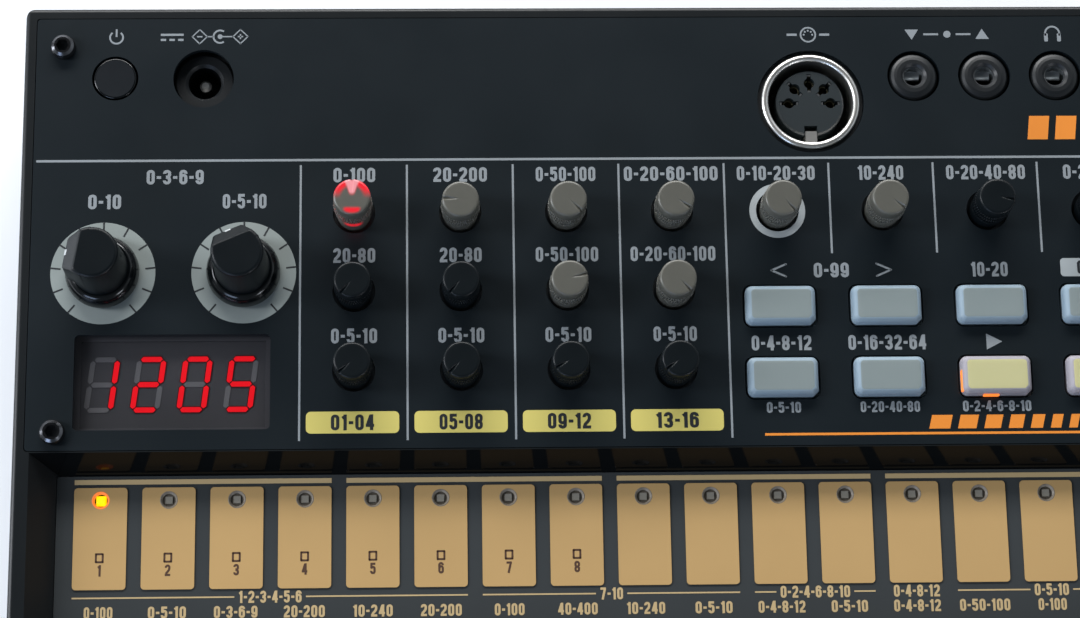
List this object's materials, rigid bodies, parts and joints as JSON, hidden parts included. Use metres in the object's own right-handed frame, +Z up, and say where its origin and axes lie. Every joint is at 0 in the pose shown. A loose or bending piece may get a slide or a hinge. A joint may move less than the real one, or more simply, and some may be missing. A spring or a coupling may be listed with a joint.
{
  "type": "drum machine",
  "caption": "Desktop drum machine: a panel of knobs, rubber buttons and sockets over a sloped well of touch pads, with a hinged battery door below.",
  "frame": {"origin": "on the table under the middle of the case", "axes": "+X to the right, +Y to the rear, +Z up"},
  "size_m": [0.193, 0.115, 0.046],
  "materials": {
    "case_plastic": "black moulded ABS, fine texture",
    "case_gloss": "black moulded ABS, polished",
    "panel_paint": "blue-black satin panel with grey print",
    "black_screw": "black chromed steel",
    "steel_screw": "zinc plated steel",
    "foot_rubber": "black rubber",
    "touch_sheet": "dark slate printed sheet",
    "pad_gold": "gold plated pads, matt",
    "circuit_board": "green solder mask",
    "led_lens": "clear epoxy lens",
    "flex_film": "polyimide flat cable",
    "pot_steel": "pressed steel",
    "switch_plastic": "black nylon",
    "socket_plastic": "black moulded nylon, satin",
    "nickel_ring": "nickel plated ring",
    "contact_brass": "plated contacts",
    "display_smoke": "smoked acrylic window",
    "display_block": "dark grey LED block",
    "cone_paper": "black paper cone",
    "cell_wrap": "plain printed sleeve",
    "spring_steel": "nickel plated spring steel",
    "knob_smoke": "smoked translucent polycarbonate",
    "knob_black": "black satin plastic",
    "button_black": "black satin plastic",
    "button_silicone": "translucent blue-grey silicone",
    "button_cream": "translucent cream silicone"
  },
  "bodies": {
    "root": {"bottom_case": "case_plastic", "top_case": "case_plastic", "touch_bezel": "case_gloss", "panel_plate": "panel_paint", "panel_screws": "black_screw", "case_screws": "steel_screw", "rubber_feet": "foot_rubber", "touch_panel": "touch_sheet", "touch_pads": "pad_gold", "touch_board": "circuit_board", "step_leds": "led_lens", "main_board": "circuit_board", "jack_board": "circuit_board", "flex_cable": "flex_film", "knob_pots": "pot_steel", "stutter_pots": "pot_steel", "button_switches": "switch_plastic", "indicator_leds": "led_lens", "power_switch": "switch_plastic", "dc_jack": "socket_plastic", "midi_body": "socket_plastic", "midi_shell": "nickel_ring", "midi_insert": "socket_plastic", "midi_contacts": "contact_brass", "sync_jacks": "socket_plastic", "headphone_jack": "socket_plastic", "display_window": "display_smoke", "display_module": "display_block", "speaker_frame": "pot_steel", "speaker_cone": "cone_paper", "battery_cells": "cell_wrap", "battery_contacts": "spring_steel"},
    "kick_click_knob": {"kick_click_knob": "knob_smoke"},
    "kick_pitch_knob": {"kick_pitch_knob": "knob_black"},
    "kick_decay_knob": {"kick_decay_knob": "knob_black"},
    "snare_snap_knob": {"snare_snap_knob": "knob_smoke"},
    "snare_pitch_knob": {"snare_pitch_knob": "knob_black"},
    "snare_decay_knob": {"snare_decay_knob": "knob_black"},
    "tom_high_knob": {"tom_high_knob": "knob_smoke"},
    "tom_low_knob": {"tom_low_knob": "knob_smoke"},
    "tom_decay_knob": {"tom_decay_knob": "knob_black"},
    "hat_closed_knob": {"hat_closed_knob": "knob_smoke"},
    "hat_open_knob": {"hat_open_knob": "knob_smoke"},
    "hat_grain_knob": {"hat_grain_knob": "knob_black"},
    "sample_speed_knob": {"sample_speed_knob": "knob_smoke"},
    "tempo_knob": {"tempo_knob": "knob_smoke"},
    "part_level_knob": {"part_level_knob": "knob_black"},
    "volume_knob": {"volume_knob": "knob_black"},
    "stutter_time_knob": {"stutter_time_knob": "knob_black"},
    "stutter_depth_knob": {"stutter_depth_knob": "knob_black"},
    "part_back_button": {"part_back_button": "button_silicone"},
    "part_next_button": {"part_next_button": "button_silicone"},
    "mute_button": {"mute_button": "button_silicone"},
    "func_button": {"func_button": "button_silicone"},
    "memory_button": {"memory_button": "button_silicone"},
    "step_mode_button": {"step_mode_button": "button_silicone"},
    "play_button": {"play_button": "button_cream"},
    "record_button": {"record_button": "button_cream"},
    "power_button": {"power_button": "button_black"},
    "battery_door": {"battery_door": "case_plastic"}
  },
  "joints": [
    {"name": "kick_click_turn", "type": "hinge", "parent": "root", "child": "kick_click_knob", "pos_m": [-0.04155, 0.02164, 0.032], "axis": [0, 0, 1], "range_deg": [-140, 140]},
    {"name": "kick_pitch_turn", "type": "hinge", "parent": "root", "child": "kick_pitch_knob", "pos_m": [-0.04155, 0.00834, 0.032], "axis": [0, 0, 1], "range_deg": [-280, 0]},
    {"name": "kick_decay_turn", "type": "hinge", "parent": "root", "child": "kick_decay_knob", "pos_m": [-0.04155, -0.00496, 0.032], "axis": [0, 0, 1], "range_deg": [-272, 8]},
    {"name": "snare_snap_turn", "type": "hinge", "parent": "root", "child": "snare_snap_knob", "pos_m": [-0.02403, 0.02164, 0.032], "axis": [0, 0, 1], "range_deg": [-225, 55]},
    {"name": "snare_pitch_turn", "type": "hinge", "parent": "root", "child": "snare_pitch_knob", "pos_m": [-0.02403, 0.00834, 0.032], "axis": [0, 0, 1], "range_deg": [-280, 0]},
    {"name": "snare_decay_turn", "type": "hinge", "parent": "root", "child": "snare_decay_knob", "pos_m": [-0.02403, -0.00496, 0.032], "axis": [0, 0, 1], "range_deg": [-276, 4]},
    {"name": "tom_high_turn", "type": "hinge", "parent": "root", "child": "tom_high_knob", "pos_m": [-0.00651, 0.02164, 0.032], "axis": [0, 0, 1], "range_deg": [-5, 275]},
    {"name": "tom_low_turn", "type": "hinge", "parent": "root", "child": "tom_low_knob", "pos_m": [-0.00651, 0.00834, 0.032], "axis": [0, 0, 1], "range_deg": [-65, 215]},
    {"name": "tom_decay_turn", "type": "hinge", "parent": "root", "child": "tom_decay_knob", "pos_m": [-0.00651, -0.00496, 0.032], "axis": [0, 0, 1], "range_deg": [-260, 20]},
    {"name": "hat_closed_turn", "type": "hinge", "parent": "root", "child": "hat_closed_knob", "pos_m": [0.01101, 0.02164, 0.032], "axis": [0, 0, 1], "range_deg": [-15, 265]},
    {"name": "hat_open_turn", "type": "hinge", "parent": "root", "child": "hat_open_knob", "pos_m": [0.01101, 0.00834, 0.032], "axis": [0, 0, 1], "range_deg": [-2, 278]},
    {"name": "hat_grain_turn", "type": "hinge", "parent": "root", "child": "hat_grain_knob", "pos_m": [0.01101, -0.00496, 0.032], "axis": [0, 0, 1], "range_deg": [-268, 12]},
    {"name": "sample_speed_turn", "type": "hinge", "parent": "root", "child": "sample_speed_knob", "pos_m": [0.02853, 0.02164, 0.032], "axis": [0, 0, 1], "range_deg": [0, 280]},
    {"name": "tempo_turn", "type": "hinge", "parent": "root", "child": "tempo_knob", "pos_m": [0.04605, 0.02164, 0.032], "axis": [0, 0, 1], "range_deg": [-10, 270]},
    {"name": "part_level_turn", "type": "hinge", "parent": "root", "child": "part_level_knob", "pos_m": [0.06357, 0.02164, 0.032], "axis": [0, 0, 1], "range_deg": [-40, 240]},
    {"name": "volume_turn", "type": "hinge", "parent": "root", "child": "volume_knob", "pos_m": [0.08109, 0.02164, 0.032], "axis": [0, 0, 1], "range_deg": [-80, 200]},
    {"name": "stutter_time_turn", "type": "hinge", "parent": "root", "child": "stutter_time_knob", "pos_m": [-0.08257, 0.01163, 0.032], "axis": [0, 0, 1], "range_deg": [-220, 60]},
    {"name": "stutter_depth_turn", "type": "hinge", "parent": "root", "child": "stutter_depth_knob", "pos_m": [-0.05957, 0.01163, 0.032], "axis": [0, 0, 1], "range_deg": [-163, 117]},
    {"name": "part_back_press", "type": "slide", "parent": "root", "child": "part_back_button", "axis": [0, 0, -1], "range_m": [0, 0.0008], "stiffness_N_per_m": 600, "springref_m": -0.0004},
    {"name": "part_next_press", "type": "slide", "parent": "root", "child": "part_next_button", "axis": [0, 0, -1], "range_m": [0, 0.0008], "stiffness_N_per_m": 600, "springref_m": -0.0004},
    {"name": "mute_press", "type": "slide", "parent": "root", "child": "mute_button", "axis": [0, 0, -1], "range_m": [0, 0.0008], "stiffness_N_per_m": 600, "springref_m": -0.0004},
    {"name": "func_press", "type": "slide", "parent": "root", "child": "func_button", "axis": [0, 0, -1], "range_m": [0, 0.0008], "stiffness_N_per_m": 600, "springref_m": -0.0004},
    {"name": "memory_press", "type": "slide", "parent": "root", "child": "memory_button", "axis": [0, 0, -1], "range_m": [0, 0.0008], "stiffness_N_per_m": 600, "springref_m": -0.0004},
    {"name": "step_mode_press", "type": "slide", "parent": "root", "child": "step_mode_button", "axis": [0, 0, -1], "range_m": [0, 0.0008], "stiffness_N_per_m": 600, "springref_m": -0.0004},
    {"name": "play_press", "type": "slide", "parent": "root", "child": "play_button", "axis": [0, 0, -1], "range_m": [0, 0.0008], "stiffness_N_per_m": 600, "springref_m": -0.0004},
    {"name": "record_press", "type": "slide", "parent": "root", "child": "record_button", "axis": [0, 0, -1], "range_m": [0, 0.0008], "stiffness_N_per_m": 600, "springref_m": -0.0004},
    {"name": "power_press", "type": "slide", "parent": "root", "child": "power_button", "axis": [0, 0, -1], "range_m": [0, 0.0008], "stiffness_N_per_m": 800, "springref_m": -0.0004},
    {"name": "battery_door_swing", "type": "hinge", "parent": "root", "child": "battery_door", "pos_m": [0.015, 0.0268, 0.0024], "axis": [1, 0, 0], "range_deg": [0, 80]}
  ]
}
